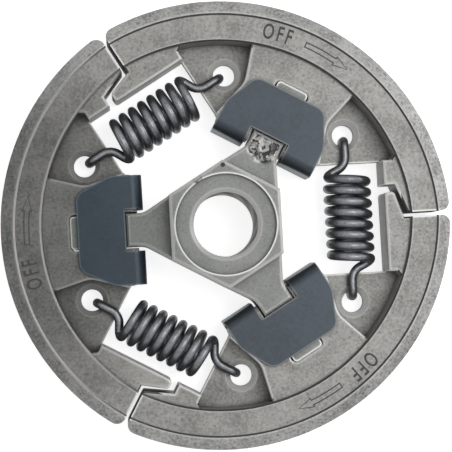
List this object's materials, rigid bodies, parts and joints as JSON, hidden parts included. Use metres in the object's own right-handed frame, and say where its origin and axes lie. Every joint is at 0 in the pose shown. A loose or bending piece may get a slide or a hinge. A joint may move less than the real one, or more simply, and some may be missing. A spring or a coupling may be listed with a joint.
{
  "type": "centrifugal clutch",
  "caption": "Round centrifugal clutch for a chainsaw: sliding metal shoes on the arms of a hexagon hub, drawn in by coil springs and held on by folded steel retainers.",
  "frame": {"origin": "centre of the threaded bore, on the plane of the hub's and the rims' back faces", "axes": "+Z along the bore's axis towards the wrench hexagon's face, -X along the second shoe's arm, with the other two arms at 60 degrees on either side of +X"},
  "size_m": [0.0776, 0.0774, 0.017],
  "materials": {
    "carrier": "satin",
    "shoe": "matte",
    "retainer": "satin",
    "spring": "gloss"
  },
  "bodies": {
    "carrier": {"carrier": "carrier"},
    "shoe_1": {"shoe_1": "shoe", "retainer_1": "retainer", "spring_1": "spring"},
    "shoe_2": {"shoe_2": "shoe", "retainer_2": "retainer", "spring_2": "spring"},
    "shoe_3": {"shoe_3": "shoe", "retainer_3": "retainer", "spring_3": "spring"}
  },
  "joints": [
    {"name": "shoe_1_slide", "type": "slide", "parent": "carrier", "child": "shoe_1", "axis": [0.5, 0.866, 0], "range_m": [0, 0.0014], "stiffness_N_per_m": 20000, "deforming": ["spring_1", "spring_3"]},
    {"name": "shoe_2_slide", "type": "slide", "parent": "carrier", "child": "shoe_2", "axis": [-1, 0, 0], "range_m": [0, 0.0014], "stiffness_N_per_m": 20000, "deforming": ["spring_2", "spring_1"]},
    {"name": "shoe_3_slide", "type": "slide", "parent": "carrier", "child": "shoe_3", "axis": [0.5, -0.866, 0], "range_m": [0, 0.0014], "stiffness_N_per_m": 20000, "deforming": ["spring_3", "spring_2"]}
  ]
}
